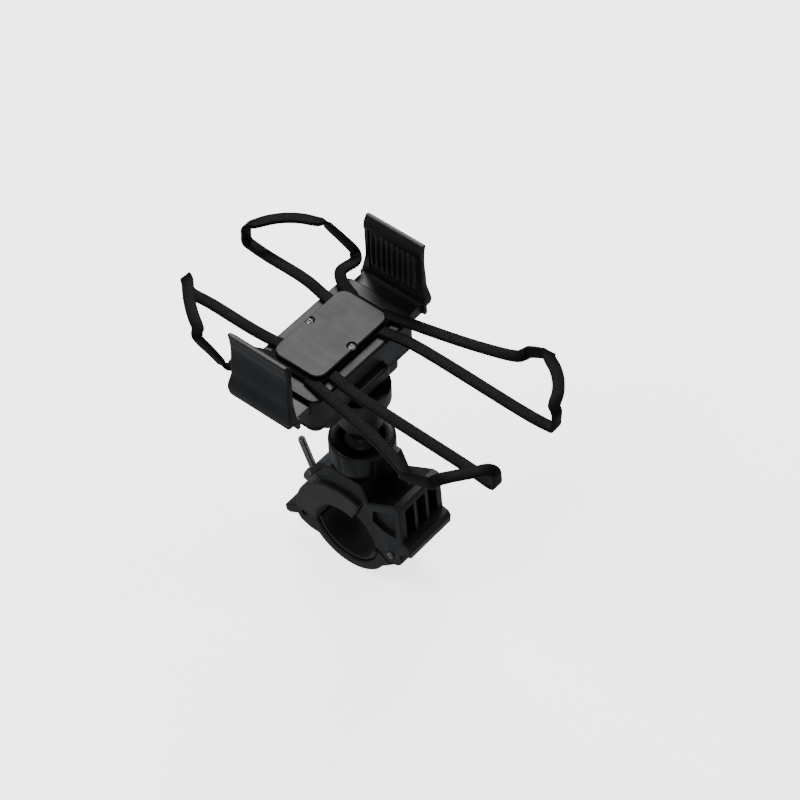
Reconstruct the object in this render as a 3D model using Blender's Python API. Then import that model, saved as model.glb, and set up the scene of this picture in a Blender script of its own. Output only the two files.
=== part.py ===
"""Bicycle phone mount: handlebar clamp, ball joint, pinching cradle and silicone band.

Frame: the origin is on the handlebar's axis, at the middle of the clamp's width.
+X runs along the handlebar to the rider's right, +Y points forward, +Z points up.
All sizes below are millimetres; the helpers turn them into metres.
"""
import math

import bmesh
import bpy
from mathutils import Matrix, Vector

MM = 0.001

# ---------------------------------------------------------------- driving dimensions
GAP = 0.3                      # clearance between pieces that touch

BAR_R = 12.7                   # 25.4 mm handlebar
CLAMP_HALF = 11.6              # half of the clamp's width along the bar
BOLT_LEAN = 22.0               # degrees the bolt leans forward
SHIM_IN_R = 12.85
SHIM_OUT_R = 22.9
SHIM_HALF = 13.2
BAND_IN_R = 23.2               # clamp shell outside the thick shim
BAND_OUT_R = 25.5
SHIM_END = 112.0               # angle from +Y where the thick shim ends
HINGE_Y, HINGE_Z = -21.5, 2.5
HINGE_R = 5.2
PIN_R = 1.5
BOLT_U = 20.95                 # bolt axis and its pivot, in the bolt's leaning plane
PIVOT_V = 2.5
BOLT_R = 1.45

BALL_R = 8.5
BALL_Z = 37.5
NECK_R = 4.2
TOWER_R = 10.6
RING_R = 12.3
RING_LO, RING_HI = 32.0, 43.6

PHONE_W, PHONE_L, PHONE_T = 67.1, 138.3, 7.1
PHONE_Y = -5.5
PHONE_BACK = 89.1
PHONE_FACE = PHONE_BACK + PHONE_T

BODY_X = 27.0                  # cradle body
BODY_Y0, BODY_Y1 = -4.0, 28.0
BODY_YC = 12.0
BODY_LO, BODY_HI = 72.0, 85.8
RACK_LO, RACK_HI = 79.5, 84.0
GEAR_TEETH = 12
GEAR_MODULE = 1.0
GEAR_R = GEAR_MODULE * GEAR_TEETH / 2

STRAP_W = 4.3
STRAP_T = 1.5

# ---------------------------------------------------------------- materials
FINISHES = {
    "black_plastic": ((0.018, 0.018, 0.020), 0.42, 0.0),
    "black_rubber": ((0.012, 0.012, 0.013), 0.75, 0.0),
    "grey_rubber": ((0.055, 0.056, 0.060), 0.80, 0.0),
    "black_silicone": ((0.010, 0.010, 0.011), 0.35, 0.0),
    "black_steel": ((0.060, 0.058, 0.056), 0.38, 1.0),
    "bright_steel": ((0.55, 0.55, 0.56), 0.30, 1.0),
    "acetal": ((0.62, 0.61, 0.58), 0.40, 0.0),
}


def finish(name):
    """Return the Principled material called name, making it the first time."""
    material = bpy.data.materials.get(name)
    if material is None:
        colour, roughness, metallic = FINISHES[name]
        material = bpy.data.materials.new(name)
        material.use_nodes = True
        shader = material.node_tree.nodes["Principled BSDF"]
        shader.inputs["Base Color"].default_value = (*colour, 1.0)
        shader.inputs["Roughness"].default_value = roughness
        shader.inputs["Metallic"].default_value = metallic
    return material


# ---------------------------------------------------------------- mesh helpers
def to_object(name, mesh_data):
    """Put a bmesh, built in metres, in a new scene object."""
    bmesh.ops.recalc_face_normals(mesh_data, faces=mesh_data.faces)
    mesh = bpy.data.meshes.new(name)
    mesh_data.to_mesh(mesh)
    mesh_data.free()
    obj = bpy.data.objects.new(name, mesh)
    bpy.context.scene.collection.objects.link(obj)
    return obj


def polar(radius, degrees):
    """Point on a circle about the origin, as (y, z)."""
    angle = math.radians(degrees)
    return radius * math.cos(angle), radius * math.sin(angle)


def arc(centre, radius, start, end, steps):
    """Points of a circular arc from start to end degrees, both ends included."""
    points = []
    for i in range(steps + 1):
        a, b = polar(radius, start + (end - start) * i / steps)
        points.append((centre[0] + a, centre[1] + b))
    return points


def rounded(corners, steps=3):
    """Outline through corners (x, y, radius), each corner replaced by a fillet arc."""
    outline = []
    count = len(corners)
    for i, (x, y, radius) in enumerate(corners):
        here = Vector((x, y))
        if radius <= 0.0:
            outline.append((x, y))
            continue
        before = (Vector(corners[i - 1][:2]) - here).normalized()
        after = (Vector(corners[(i + 1) % count][:2]) - here).normalized()
        half = before.angle(after) / 2
        centre = here + (before + after).normalized() * radius / math.sin(half)
        first = here + before * radius / math.tan(half) - centre
        last = here + after * radius / math.tan(half) - centre
        start = math.atan2(first.y, first.x)
        sweep = math.atan2(last.y, last.x) - start
        sweep = (sweep + math.pi) % (2 * math.pi) - math.pi
        for k in range(steps + 1):
            angle = start + sweep * k / steps
            outline.append((centre.x + radius * math.cos(angle), centre.y + radius * math.sin(angle)))
    return outline


AXES = {"x": (1, 2, 0), "y": (0, 2, 1), "z": (0, 1, 2)}


def prism(name, outline, axis, low, high, bevel=0.0):
    """Extrude a flat outline along an axis; outline pairs are the other two axes in order."""
    first, second, along = AXES[axis]
    data = bmesh.new()
    vertices = []
    for a, b in outline:
        place = [0.0, 0.0, 0.0]
        place[first], place[second], place[along] = a * MM, b * MM, low * MM
        vertices.append(data.verts.new(place))
    base = data.faces.new(vertices)
    grown = bmesh.ops.extrude_face_region(data, geom=[base])
    shift = [0.0, 0.0, 0.0]
    shift[along] = (high - low) * MM
    moved = [item for item in grown["geom"] if isinstance(item, bmesh.types.BMVert)]
    bmesh.ops.translate(data, verts=moved, vec=shift)
    if bevel > 0.0:
        rims = [edge for edge in data.edges if len({round(v.co[along], 7) for v in edge.verts}) == 1]
        bmesh.ops.bevel(data, geom=rims, offset=bevel * MM, segments=1, affect="EDGES", profile=0.5)
    return to_object(name, data)


def box(name, low, high, bevel=0.0):
    """Axis-aligned block between two corners."""
    outline = [(low[0], low[1]), (high[0], low[1]), (high[0], high[1]), (low[0], high[1])]
    return prism(name, outline, "z", low[2], high[2], bevel)


def turned(name, profile, segments, place=None, ring=False):
    """Turn a profile of (radius, height) about local Z; ring profiles are closed loops."""
    data = bmesh.new()
    columns = []
    for i in range(segments):
        angle = 2 * math.pi * i / segments
        columns.append([(r * math.cos(angle), r * math.sin(angle), h) for r, h in profile])
    poles = {}
    grid = []
    for column in columns:
        line = []
        for k, point in enumerate(column):
            if profile[k][0] == 0.0:
                if k not in poles:
                    poles[k] = data.verts.new(Vector(point) * MM)
                line.append(poles[k])
            else:
                line.append(data.verts.new(Vector(point) * MM))
        grid.append(line)
    last = len(profile) if ring else len(profile) - 1
    for i in range(segments):
        here, there = grid[i], grid[(i + 1) % segments]
        for k in range(last):
            n = (k + 1) % len(profile)
            corners = []
            for vertex in (here[k], there[k], there[n], here[n]):
                if vertex not in corners:
                    corners.append(vertex)
            if len(corners) > 2:
                data.faces.new(corners)
    obj = to_object(name, data)
    if place is not None:
        obj.data.transform(place)
        obj.data.update()
    return obj


def along_x(y, z, x=0.0):
    """Placement that lays a turned piece's axis along +X."""
    return Matrix.Translation(Vector((x, y, z)) * MM) @ Matrix.Rotation(math.radians(90), 4, "Y")


def along_y(x, z, y=0.0):
    """Placement that lays a turned piece's axis along +Y."""
    return Matrix.Translation(Vector((x, y, z)) * MM) @ Matrix.Rotation(math.radians(-90), 4, "X")


def at(x, y, z=0.0):
    """Placement that keeps a turned piece's axis along +Z."""
    return Matrix.Translation(Vector((x, y, z)) * MM)


def rod(name, radius, length, place, segments=16, chamfer=0.0):
    """Plain round bar from its placement's origin along its local +Z."""
    c = chamfer
    profile = [(0.0, length), (radius - c, length), (radius, length - c), (radius, c), (radius - c, 0.0), (0.0, 0.0)]
    if c == 0.0:
        profile = [(0.0, length), (radius, length), (radius, 0.0), (0.0, 0.0)]
    return turned(name, profile, segments, place)


def combine(target, tools, operation):
    """Apply a Boolean of each tool to target, and remove the tools."""
    for tool in tools:
        modifier = target.modifiers.new("cut", "BOOLEAN")
        modifier.operation = operation
        modifier.solver = "EXACT"
        modifier.object = tool
    graph = bpy.context.evaluated_depsgraph_get()
    mesh = bpy.data.meshes.new_from_object(target.evaluated_get(graph))
    target.modifiers.clear()
    target.data = mesh
    for tool in tools:
        bpy.data.objects.remove(tool)
    return target


def join(target, *tools):
    return combine(target, tools, "UNION")


def cut(target, *tools):
    return combine(target, tools, "DIFFERENCE")


def keep_common(target, *tools):
    return combine(target, tools, "INTERSECT")


def finished(obj, name, material, origin=None, sharp=35.0):
    """Name the piece, shade it, give it its material and put its origin on its joint."""
    obj.name = name
    obj.data.name = name
    data = bmesh.new()
    data.from_mesh(obj.data)
    bmesh.ops.remove_doubles(data, verts=data.verts, dist=0.002 * MM)
    bmesh.ops.dissolve_degenerate(data, edges=data.edges, dist=0.002 * MM)
    data.to_mesh(obj.data)
    data.free()
    if origin is not None:
        start = Vector(origin) * MM
        obj.data.transform(Matrix.Translation(-start))
        obj.location = start
    obj.data.materials.clear()
    obj.data.materials.append(finish(material))
    obj.data.shade_smooth()
    obj.data.set_sharp_from_angle(angle=math.radians(sharp))
    return obj


# ---------------------------------------------------------------- handlebar clamp
def leaned(u, v):
    """Point (y, z) for a place in the bolt's leaning plane: v along the bolt, u forward of it."""
    a = math.radians(BOLT_LEAN)
    return u * math.cos(a) + v * math.sin(a), -u * math.sin(a) + v * math.cos(a)


BOLT_PIVOT = leaned(BOLT_U, PIVOT_V)


def bolt_frame(x=0.0, height=0.0):
    """Placement on the bolt's axis, height up from its pivot."""
    lean = Matrix.Rotation(math.radians(-BOLT_LEAN), 4, "X")
    pivot = Matrix.Translation(Vector((x, BOLT_PIVOT[0], BOLT_PIVOT[1])) * MM)
    return pivot @ lean @ Matrix.Translation(Vector((0, 0, height)) * MM)


RIB_PITCH = 6.2
RIB_W = 1.6
LUG_HALF = 4.8                 # half width of the lug that the nut pulls on, and its end's radius
LUG_LO, LUG_HI = 7.0, 10.4     # the lug's faces, along the bolt's leaning plane
SHELL_START = 58.0             # angle from +Y where the full-width shell starts
KNUCKLE = 3.9                  # half width of the hinge's middle knuckle


def clamp_upper():
    """Wedge block with the shell round the shim, the bolt's lug and the ball socket's tower."""
    shell = arc((0, 0), BAND_OUT_R, SHELL_START, 71.5, 4)
    wedge = [(10.0, 29.1), (6.4, 31.6), (-8.6, 31.4), (-11.6, 24.4), (-23.2, 31.3), (-25.6, 31.2), (-26.4, 30.0),
             (-27.4, 13.2), (-30.0, 12.8), (-31.2, 10.6), (-30.9, 7.4), (-27.6, 6.2)]
    knuckle = arc((HINGE_Y, HINGE_Z), HINGE_R, 148.0, 322.0, 8)
    seat = arc((0, 0), BAR_R + 0.9, 172.0, SHIM_END, 6)
    inner = arc((0, 0), BAND_IN_R, SHIM_END, SHELL_START, 8)
    block = prism("block", shell + wedge + knuckle + seat + inner, "x", -CLAMP_HALF, CLAMP_HALF, 0.5)

    pocket = [(-13.2, 22.0), (-24.6, 28.6), (-36.0, 28.6), (-36.0, 13.4), (-18.6, 13.4), (-13.2, 15.4)]
    pockets = []
    for i in (-1, 0, 1):
        centre = i * RIB_PITCH
        half = (RIB_PITCH - RIB_W) / 2
        pockets.append(prism("pocket", pocket, "x", centre - half, centre + half))
    side = 1.5 * RIB_PITCH + RIB_W / 2
    shallow = [(-13.6, 21.6), (-24.3, 27.9), (-24.3, 14.0), (-18.9, 14.0), (-13.6, 15.9)]
    for sign in (-1, 1):
        low, high = sorted((sign * side, sign * 20.0))
        pockets.append(prism("side", shallow, "x", low, high))
    cut(block, *pockets)

    root = rod("root", TOWER_R + 0.6, 8.0, at(0, 0, 23.6), 32)
    tower = rod("tower", TOWER_R, 17.8, at(0, 0, 24.0), 32, 0.3)
    join(block, root, tower)
    socket = turned("socket", ball_profile(BALL_R + 0.15, 40.0), 28)
    slots = []
    for i in range(2):
        slot = box("slot", (-12.0, -0.7, 33.6), (12.0, 0.7, 50.0))
        slot.data.transform(Matrix.Rotation(math.radians(45 + 90 * i), 4, "Z"))
        slots.append(slot)
    well = rod("well", 6.4, 8.0, at(0, 0, BALL_Z - 10.6), 24)
    cut(block, socket, well, *slots)

    inset = 0.05
    back = arc((0, 0), BAND_OUT_R - inset, 25.9, 62.0, 6) + arc((0, 0), BAND_IN_R + inset, 62.0, 33.3, 5)
    tongue = prism("tongue", [leaned(17.1, 8.7)] + back + [leaned(13.2, 8.7)], "x", -LUG_HALF + inset, LUG_HALF - inset)
    heel = 13.3 - BOLT_U
    plan = [(-LUG_HALF, heel), (LUG_HALF, heel)] + arc((0, 0), LUG_HALF, 0.0, 180.0, 16)
    lug = prism("lug", plan, "z", LUG_LO - PIVOT_V, LUG_HI - PIVOT_V, 0.4)
    lug.data.transform(bolt_frame())
    join(block, tongue, lug)
    nut_room = rod("nut_room", 5.2, 20.0, bolt_frame(0.0, LUG_HI - PIVOT_V), 32)
    seat = [leaned(21.85, 10.45), leaned(25.75, 8.45), leaned(26.4, 8.1), leaned(26.4, 12.0), leaned(21.85, 12.0)]
    rounded_seat = prism("rounded_seat", seat, "x", -6.0, 6.0)
    slot = [leaned(19.05, 5.0), leaned(36.0, 5.0), leaned(36.0, 20.0), leaned(19.05, 20.0)]
    bolt_slot = prism("bolt_slot", slot, "x", -1.9, 1.9)
    corners = []
    for sign in (-1, 1):
        triangle = [(sign * 8.2, 11.2), (sign * 12.8, 11.2), (sign * 12.8, 6.6)]
        corners.append(prism("corner", triangle, "z", 24.6, 33.0))
    gap = arc((HINGE_Y, HINGE_Z), HINGE_R + 0.5, 0.0, 337.5, 15)
    knuckle_room = prism("knuckle_room", gap, "x", -KNUCKLE - GAP, KNUCKLE + GAP)
    web_room = box("web_room", (-KNUCKLE - GAP, -17.0, -12.0), (KNUCKLE + GAP, -8.0, 3.4))
    pin_hole = rod("pin_hole", PIN_R + 0.05, 40.0, along_x(HINGE_Y, HINGE_Z, -20.0), 20)
    cut(block, nut_room, rounded_seat, bolt_slot, knuckle_room, web_room, pin_hole, *corners)

    bar = turned("bar", [(0.0, 20.0), (BAR_R + 0.9, 20.0), (BAR_R + 0.9, -20.0), (0.0, -20.0)], 48, along_x(0, 0))
    cut(block, bar)
    return finished(block, "clamp_upper", "black_plastic")


def ball_profile(radius, top):
    """Half circle for a ball at the socket's centre, opened upwards to height top."""
    profile = [(0.0, top + 6.0)]
    open_r = math.sqrt(radius ** 2 - (top - BALL_Z) ** 2)
    profile.append((open_r, top + 6.0))
    start = math.degrees(math.atan2(top - BALL_Z, open_r))
    for r, h in arc((0, BALL_Z), radius, start, -90.0, 10):
        profile.append((max(r, 0.0), h))
    profile[-1] = (0.0, BALL_Z - radius)
    return profile


def shim_upper():
    """Thick rubber block between the bar and the upper shell."""
    start = -4.5
    outline = arc((0, 0), SHIM_OUT_R, start, SHIM_END - 1.0, 16) + arc((0, 0), SHIM_IN_R, SHIM_END - 1.0, start, 16)
    shim = prism("shim", outline, "x", -SHIM_HALF, SHIM_HALF, 0.4)
    recess = [leaned(12.9, LUG_LO - GAP), leaned(34.0, LUG_LO - GAP), leaned(34.0, 24.0), leaned(12.9, 24.0)]
    slot = [leaned(18.6, -8.0), leaned(34.0, -8.0), leaned(34.0, 14.0), leaned(18.6, 14.0)]
    cut(shim, prism("lug_room", recess, "x", -LUG_HALF - GAP, LUG_HALF + GAP), prism("slot", slot, "x", -2.2, 2.2))
    return finished(shim, "shim_upper", "grey_rubber")


def clamp_lower():
    """Arm that closes under the bar, with the bolt's fork at its front end."""
    outer = arc((0, 0), 18.6, 207.0, 318.0, 14)
    fork = [(18.0, -12.4), (22.5, -10.8), (23.2, -9.8), (23.9, -8.8), (27.6, -11.2), (29.2, -11.2), (29.9, -10.5),
            (30.3, -8.5), (29.9, -7.7), (22.3, -2.4)]
    inner = arc((0, 0), BAR_R + 1.9, 353.7, 186.0, 22)
    knuckle = arc((HINGE_Y, HINGE_Z), HINGE_R, -8.0, 196.0, 10)
    outline = outer + fork + inner + knuckle
    arm = prism("arm", outline, "x", -CLAMP_HALF, CLAMP_HALF, 0.5)
    rooms = []
    ring = arc((HINGE_Y, HINGE_Z), HINGE_R + 0.5, 0.0, 337.5, 15)
    for sign in (-1, 1):
        low, high = sorted((sign * KNUCKLE, sign * 20.0))
        rooms.append(prism("room", ring, "x", low, high))
        step = [(-30.0, -1.6), (-17.6, -1.6), (-12.4, 1.0), (-12.4, 12.0), (-30.0, 12.0)]
        rooms.append(prism("room", step, "x", low, high))
    pin_hole = rod("pin_hole", PIN_R + 0.06, 40.0, along_x(HINGE_Y, HINGE_Z, -20.0), 20)
    fork_room = [leaned(17.65, -20.0), leaned(34.0, -20.0), leaned(34.0, 9.0), leaned(17.65, 9.0)]
    bolt_room = prism("bolt_room", fork_room, "x", -3.1, 3.1)
    pivot_hole = rod("pivot_hole", 1.3, 40.0, along_x(*BOLT_PIVOT, -20.0), 16)
    cut(arm, pin_hole, bolt_room, pivot_hole, *rooms)
    return finished(arm, "clamp_lower", "black_plastic", (0, HINGE_Y, HINGE_Z))


def shim_lower():
    """Thin rubber liner on the lower arm."""
    outline = arc((0, 0), BAR_R + 1.6, 193.0, 350.0, 20) + arc((0, 0), SHIM_IN_R, 350.0, 193.0, 20)
    shim = prism("shim", outline, "x", -CLAMP_HALF + 0.8, CLAMP_HALF - 0.8, 0.3)
    return finished(shim, "shim_lower", "grey_rubber", (0, HINGE_Y, HINGE_Z))


def hinge_pin():
    """Headed pin through the clamp's three knuckles."""
    half = CLAMP_HALF
    profile = [(0.0, half + 1.3), (2.2, half + 1.3), (2.6, half + 0.9), (2.6, half + GAP), (PIN_R, half + GAP),
               (PIN_R, -half - 0.4), (PIN_R - 0.4, -half - 0.8), (0.0, -half - 0.8)]
    return finished(turned("pin", profile, 20, along_x(HINGE_Y, HINGE_Z)), "hinge_pin", "black_steel")


BOLT_LEN = 27.1                # from the pivot to the tip


def swing_bolt():
    """Eye bolt that swings out of the lug's slot."""
    profile = [(0.0, BOLT_LEN), (BOLT_R - 0.45, BOLT_LEN), (BOLT_R, BOLT_LEN - 0.5), (BOLT_R, 1.0), (0.0, 1.0)]
    shank = turned("shank", profile, 16, bolt_frame())
    eye = rod("eye", 2.9, 5.4, along_x(*BOLT_PIVOT, -2.7), 20, 0.3)
    join(shank, eye)
    cut(shank, rod("bore", 1.35, 20.0, along_x(*BOLT_PIVOT, -10.0), 16))
    return finished(shank, "swing_bolt", "black_steel", (0, *BOLT_PIVOT))


def bolt_pivot_pin():
    """Pin that carries the swing bolt in the lower arm's fork."""
    half = CLAMP_HALF - 0.6
    pin = rod("pin", 1.25, 2 * half, along_x(*BOLT_PIVOT, -half), 16, 0.2)
    return finished(pin, "bolt_pivot_pin", "black_steel", (0, *BOLT_PIVOT))


WASHER_AT = 8.1                # height of the washer's underside above the pivot


def bolt_washer():
    """Washer between the lug and the nut."""
    profile = [(4.0, 0.5), (4.0, 0.0), (BOLT_R + 0.1, 0.0), (BOLT_R + 0.1, 0.5)]
    washer = turned("washer", profile, 24, bolt_frame(0.0, WASHER_AT), ring=True)
    return finished(washer, "bolt_washer", "black_steel", (0, *BOLT_PIVOT))


def tension_nut():
    """Round nut with a wide thin flange on its collar and a raised ring round the thread."""
    inner = BOLT_R + 0.08
    profile = [(2.7, 2.4), (2.7, 2.0), (4.5, 2.0), (4.8, 1.7), (4.8, 1.1), (3.9, 1.0), (3.9, 0.3), (3.6, 0.0),
               (inner, 0.0), (inner, 2.4)]
    nut = turned("nut", profile, 32, bolt_frame(0.0, WASHER_AT + 0.7), ring=True)
    return finished(nut, "tension_nut", "black_steel", (0, *BOLT_PIVOT))


# ---------------------------------------------------------------- ball joint
def ring_nut():
    """Locking ring screwed on the tower, closing the socket round the ball."""
    inner = TOWER_R + GAP
    profile = [(RING_R - 0.7, RING_HI), (RING_R, RING_HI - 0.7), (RING_R, RING_LO + 2.2), (RING_R - 0.9, RING_LO),
               (inner, RING_LO), (inner, 42.1), (7.8, 42.1), (7.8, RING_HI - 0.5), (8.4, RING_HI)]
    ring = turned("ring", profile, 48, ring=True)
    flutes = []
    for i in range(12):
        angle = 360.0 * (i + 0.5) / 12
        y, z = polar(RING_R + 0.75, angle)
        flutes.append(rod("flute", 1.2, 7.4, at(y, z, RING_LO + 2.6), 10))
    cut(ring, *flutes)
    return finished(ring, "ring_nut", "black_plastic", (0, 0, BALL_Z))


def ball_seat():
    """Rubber cup under the ball."""
    cup = arc((0, BALL_Z), BALL_R + 0.15, -90.0, -45.6, 6)
    cup[0] = (0.0, BALL_Z - BALL_R - 0.15)
    floor = BALL_Z - 10.3
    profile = cup + [(cup[-1][0], floor), (0.0, floor)]
    return finished(turned("seat", profile, 24), "ball_seat", "black_rubber", (0, 0, BALL_Z))


STUD_TOP = 62.0


def ball_stud():
    """Ball with its neck and the flange that the cradle turns on."""
    profile = [(0.0, STUD_TOP), (3.9, STUD_TOP), (3.9, 58.4), (5.6, 58.0), (5.6, 53.2), (NECK_R, 52.4)]
    start = math.degrees(math.acos(NECK_R / BALL_R))
    for r, h in arc((0, BALL_Z), BALL_R, start, -90.0, 13):
        profile.append((max(r, 0.0), h))
    profile[-1] = (0.0, BALL_Z - BALL_R)
    stud = turned("stud", profile, 28)
    cut(stud, rod("tap", 1.35, 12.0, at(0, 0, STUD_TOP - 10.0), 16))
    return finished(stud, "ball_stud", "black_plastic", (0, 0, BALL_Z))


def stud_screw():
    """Screw and captive washer head that keep the cradle on the stud."""
    profile = [(0.0, 66.4), (2.2, 66.4), (2.8, 65.6), (2.8, 64.4), (5.0, 64.2), (5.0, 63.3), (1.25, 63.3),
               (1.25, 53.4), (0.0, 53.4)]
    screw = turned("screw", profile, 24)
    cut(screw, hex_key("drive", 1.3, at(0, 0, 65.0), 4.0))
    return finished(screw, "stud_screw", "bright_steel", (0, 0, BALL_Z))


def hex_key(name, radius, place, depth):
    """Hexagonal cutter for a screw's drive."""
    return rod(name, radius, depth, place, 6)


# ---------------------------------------------------------------- cradle body
def body_outline(margin, radius):
    """Rounded rectangle of the cradle body in plan, pulled in by margin."""
    x, y0, y1 = BODY_X - margin, BODY_Y0 + margin, BODY_Y1 - margin
    return rounded([(-x, y0, radius), (x, y0, radius), (x, y1, radius), (-x, y1, radius)], 4)


POSTS = [(-21.6, 1.2), (21.6, 1.2), (-21.6, 22.8), (21.6, 22.8)]
PLATE_SCREWS = [(0.0, 2.4), (0.0, 21.6)]
WINDOW_LO = 79.2
SPRING_Y = 2.6                 # the springs' distance from the gear's axis, along Y
SPRING_FROM = 8.4              # fixed end of each jaw spring, along X
SPRING_STOPS = [(side * (SPRING_FROM - 0.7), BODY_YC + side * SPRING_Y) for side in (-1, 1)]
ROOF = 84.3


def cradle_housing():
    """Shell that guides the racks and carries the gear, open downwards."""
    shell = prism("shell", body_outline(0.0, 4.0), "z", BODY_LO, BODY_HI, 0.8)
    cavity = prism("cavity", body_outline(2.2, 2.2), "z", BODY_LO - 5.0, ROOF)
    window = box("window", (-40.0, -1.5, WINDOW_LO), (40.0, 25.5, ROOF))
    cut(shell, cavity, window)
    posts = []
    for x, y in POSTS:
        posts.append(rod("post", 2.9, WINDOW_LO - BODY_LO, at(x, y, BODY_LO), 16))
        wall = BODY_X - 1.2 if x > 0 else -BODY_X + 1.2
        low, high = sorted((x, wall))
        posts.append(box("bridge", (low, y - 1.6, BODY_LO), (high, y + 1.6, WINDOW_LO)))
    join(shell, *posts)
    screws = [rod("hole", 1.15, 6.8, at(x, y, BODY_LO - 1.0), 12) for x, y in POSTS]
    plates = [rod("hole", 0.95, 4.0, at(x, y, ROOF - 1.0), 12) for x, y in PLATE_SCREWS]
    pin = rod("pin_hole", PIN_R + 0.3, 1.0, at(0, BODY_YC, ROOF - 0.2), 16)
    button_room = box("button_room", (-8.8, -10.0, 72.7), (8.8, 0.0, 78.5))
    cut(shell, *screws, *plates, pin, button_room)
    stops = [box("stop", (x - 0.5, y - 1.8, RACK_LO + 0.2), (x + 0.5, y + 1.8, ROOF + 0.4)) for x, y in SPRING_STOPS]
    join(shell, *stops)
    return finished(shell, "cradle_housing", "black_plastic", (0, 0, BALL_Z))


FLANGE_LO = 70.2
FLANGE_HI = 71.7
COVER_LO = 64.6


def back_cover():
    """Lower cover with the boss that turns on the ball stud."""
    flange = prism("flange", body_outline(0.4, 3.6), "z", FLANGE_LO, FLANGE_HI, 0.3)
    lower = [(-19.8, -2.6, 3.0), (19.8, -2.6, 3.0), (19.8, 26.6, 3.0), (-19.8, 26.6, 3.0)]
    tray = prism("tray", rounded(lower, 4), "z", COVER_LO, FLANGE_LO + 0.5, 0.7)
    boss_profile = [(0.0, FLANGE_LO + 0.4), (11.4, FLANGE_LO + 0.4), (11.4, COVER_LO), (8.8, COVER_LO - 6.0),
                    (8.4, 53.0), (0.0, 53.0)]
    boss = turned("boss", boss_profile, 40)
    join(flange, tray, boss)
    inside = [(-17.8, 9.6, 2.0), (17.8, 9.6, 2.0), (17.8, 24.6, 2.0), (-17.8, 24.6, 2.0)]
    hollow = prism("hollow", rounded(inside, 3), "z", COVER_LO + 1.8, 80.0)
    pin_post = rod("pin_post", 3.6, FLANGE_HI - COVER_LO - 1.0, at(0, BODY_YC, COVER_LO + 1.0), 20)
    screw_well = rod("well", 6.2, 12.0, at(0, 0, 62.9), 24)
    stud_bore = turned("bore", [(0.0, 63.2), (4.2, 63.2), (4.2, 58.7), (5.9, 58.3), (5.9, 50.0), (0.0, 50.0)], 28)
    cut(flange, hollow)
    join(flange, pin_post)
    cut(flange, screw_well, stud_bore, rod("pin_hole", PIN_R + 0.05, 6.0, at(0, BODY_YC, 67.4), 16))
    for x, y in POSTS:
        cut(flange, rod("hole", 1.3, 9.0, at(x, y, 66.0), 12), rod("sink", 2.7, 9.0, at(x, y, FLANGE_LO - 8.4), 16))
    return finished(flange, "back_cover", "black_plastic", (0, 0, BALL_Z))


def cover_screw(index, x, y):
    """Pan-head screw that holds the back cover to a housing post."""
    under = FLANGE_LO + 0.3
    profile = [(0.0, 76.8), (0.7, 76.8), (1.05, 76.2), (1.05, under), (2.2, under),
               (2.2, under - 0.9), (1.6, under - 1.5), (0.0, under - 1.5)]
    screw = turned("screw", profile, 14, at(x, y))
    cross = [box("slot", (-1.2, -0.3, under - 1.9), (1.2, 0.3, under - 0.9)),
             box("slot", (-0.3, -1.2, under - 1.9), (0.3, 1.2, under - 0.9))]
    for slot in cross:
        slot.data.transform(at(x, y))
    cut(screw, *cross)
    return finished(screw, f"cover_screw_{index}", "black_steel", (0, 0, BALL_Z))


FRONT_LO, FRONT_HI = 87.6, 88.9
WEB_LO, WEB_HI = 86.1, 87.3


def front_plate():
    """Retainer that clamps the silicone web on the housing, and that the phone lies on."""
    outline = [(-19.0, 1.0, 4.0), (19.0, 1.0, 4.0), (19.0, 23.0, 4.0), (-19.0, 23.0, 4.0)]
    plate = prism("plate", rounded(outline, 5), "z", FRONT_LO, FRONT_HI, 0.35)
    for x, y in PLATE_SCREWS:
        hole = [(0.0, FRONT_HI + 1.0), (1.9, FRONT_HI + 1.0), (1.9, FRONT_LO + 0.5), (1.2, FRONT_LO + 0.4),
                (1.2, FRONT_LO - 1.0), (0.0, FRONT_LO - 1.0)]
        cut(plate, turned("hole", hole, 16, at(x, y)))
    return finished(plate, "front_plate", "black_plastic", (0, 0, BALL_Z))


def plate_screw(index, x, y):
    """Small screw through the front plate and the web into the housing."""
    head = FRONT_HI - 0.1
    profile = [(0.0, head), (1.6, head), (1.6, FRONT_LO + 0.8), (0.85, FRONT_LO + 0.8), (0.85, 84.6), (0.0, 84.6)]
    screw = turned("screw", profile, 14, at(x, y))
    return finished(screw, f"plate_screw_{index}", "black_steel", (0, 0, BALL_Z))


# ---------------------------------------------------------------- jaws and their drive
RACK_BACK = GEAR_R + 1.25      # tooth root line, from the gear's centre
LANE_END = RACK_BACK + 4.3
RACK_TIP = 13.0
TOOTH_GAP = 0.22


def tooth_profile():
    """Half widths of a rack tooth at root and tip."""
    pitch = math.pi * GEAR_MODULE
    half = pitch / 4 - TOOTH_GAP / 2
    slope = math.tan(math.radians(20))
    return half + slope * 1.15, half - slope * 0.85


def rack(side):
    """Rack bar of one jaw, in plan; side is +1 for the right jaw and -1 for the left."""
    root, tip = tooth_profile()
    pitch = math.pi * GEAR_MODULE
    base, crest = RACK_BACK, GEAR_R - 0.85
    outline = [(-RACK_TIP, LANE_END), (-RACK_TIP, base)]
    for k in range(-3, 6):
        x = (k + 0.5) * pitch
        outline += [(x - root, base), (x - tip, crest), (x + tip, crest), (x + root, base)]
    outline += [(21.0, base), (21.0, LANE_END)]
    return [(side * x, BODY_YC - side * y) for x, y in outline]


JAW_TOP = 111.0
LIP = 4.5
POCKET_X = 35.0                # back of the recess that holds the rubber pad
PAD_Y0, PAD_Y1 = 1.2, 23.0
PAD_LO, PAD_HI = 87.4, 105.6


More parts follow.
